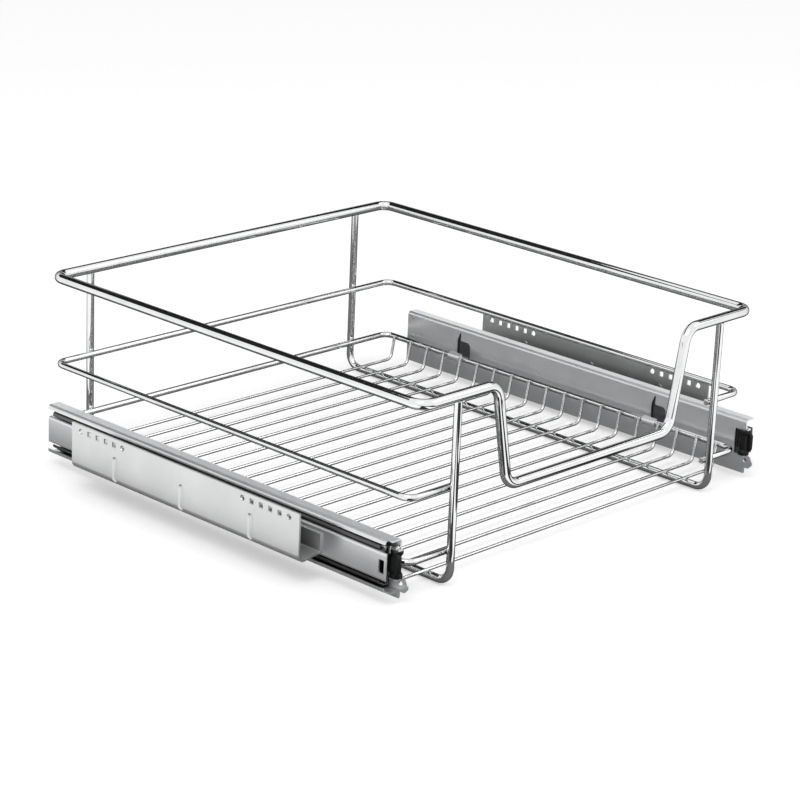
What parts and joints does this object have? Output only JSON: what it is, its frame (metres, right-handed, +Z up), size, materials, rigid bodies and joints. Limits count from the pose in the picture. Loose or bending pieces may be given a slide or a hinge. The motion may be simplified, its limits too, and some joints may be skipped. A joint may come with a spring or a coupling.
{
  "type": "pull-out dish rack",
  "caption": "Open wire basket with a dipped front rail, hung on telescopic ball-bearing slides with side mounting brackets, that pulls out of a cabinet.",
  "frame": {"origin": "middle of the footprint of the whole part's box, at the height of the U-frames' undersides", "axes": "+X across the basket to the right as seen from the front, +Y to the back of the cabinet, +Z up; the basket pulls out along -Y"},
  "size_m": [0.464, 0.41, 0.1475],
  "materials": {
    "chrome_wire": "bright chrome plate on steel wire",
    "slide_steel": "satin zinc plate on rolled steel",
    "bracket_steel": "satin zinc plate on folded steel",
    "cage_steel": "plain steel strip",
    "ball_steel": "polished steel ball",
    "rivet_steel": "zinc-plated steel rivet",
    "bumper_plastic": "moulded black plastic"
  },
  "bodies": {
    "cabinet_side": {"left_mounting_bracket": "bracket_steel", "left_cabinet_member": "slide_steel", "left_bracket_rivets": "rivet_steel", "right_mounting_bracket": "bracket_steel", "right_cabinet_member": "slide_steel", "right_bracket_rivets": "rivet_steel"},
    "basket_carriage": {"top_rim": "chrome_wire", "middle_ring": "chrome_wire", "lower_ring": "chrome_wire", "floor_wires": "chrome_wire", "left_u_frame": "chrome_wire", "left_basket_member": "slide_steel", "left_bumper": "bumper_plastic", "right_u_frame": "chrome_wire", "right_basket_member": "slide_steel", "right_bumper": "bumper_plastic"},
    "left_intermediate_body": {"left_intermediate_member": "slide_steel"},
    "left_outer_cage_body": {"left_outer_cage": "cage_steel", "left_outer_balls": "ball_steel"},
    "left_inner_cage_body": {"left_inner_cage": "cage_steel", "left_inner_balls": "ball_steel"},
    "right_intermediate_body": {"right_intermediate_member": "slide_steel"},
    "right_outer_cage_body": {"right_outer_cage": "cage_steel", "right_outer_balls": "ball_steel"},
    "right_inner_cage_body": {"right_inner_cage": "cage_steel", "right_inner_balls": "ball_steel"}
  },
  "joints": [
    {"name": "basket_pull_out", "type": "slide", "parent": "cabinet_side", "child": "basket_carriage", "axis": [0, -1, 0], "range_m": [0, 0.37]},
    {"name": "left_intermediate_slide", "type": "slide", "parent": "cabinet_side", "child": "left_intermediate_body", "axis": [0, -1, 0], "range_m": [0, 0.186]},
    {"name": "left_outer_cage_slide", "type": "slide", "parent": "cabinet_side", "child": "left_outer_cage_body", "axis": [0, -1, 0], "range_m": [0, 0.2785]},
    {"name": "left_inner_cage_slide", "type": "slide", "parent": "cabinet_side", "child": "left_inner_cage_body", "axis": [0, -1, 0], "range_m": [0, 0.0935]},
    {"name": "right_intermediate_slide", "type": "slide", "parent": "cabinet_side", "child": "right_intermediate_body", "axis": [0, -1, 0], "range_m": [0, 0.186]},
    {"name": "right_outer_cage_slide", "type": "slide", "parent": "cabinet_side", "child": "right_outer_cage_body", "axis": [0, -1, 0], "range_m": [0, 0.2785]},
    {"name": "right_inner_cage_slide", "type": "slide", "parent": "cabinet_side", "child": "right_inner_cage_body", "axis": [0, -1, 0], "range_m": [0, 0.0935]}
  ],
  "couplings": [
    {"joint": "left_intermediate_slide", "follows": "basket_pull_out", "ratio": 0.5},
    {"joint": "left_outer_cage_slide", "follows": "basket_pull_out", "ratio": 0.75},
    {"joint": "left_inner_cage_slide", "follows": "basket_pull_out", "ratio": 0.25},
    {"joint": "right_intermediate_slide", "follows": "basket_pull_out", "ratio": 0.5},
    {"joint": "right_outer_cage_slide", "follows": "basket_pull_out", "ratio": 0.75},
    {"joint": "right_inner_cage_slide", "follows": "basket_pull_out", "ratio": 0.25}
  ]
}
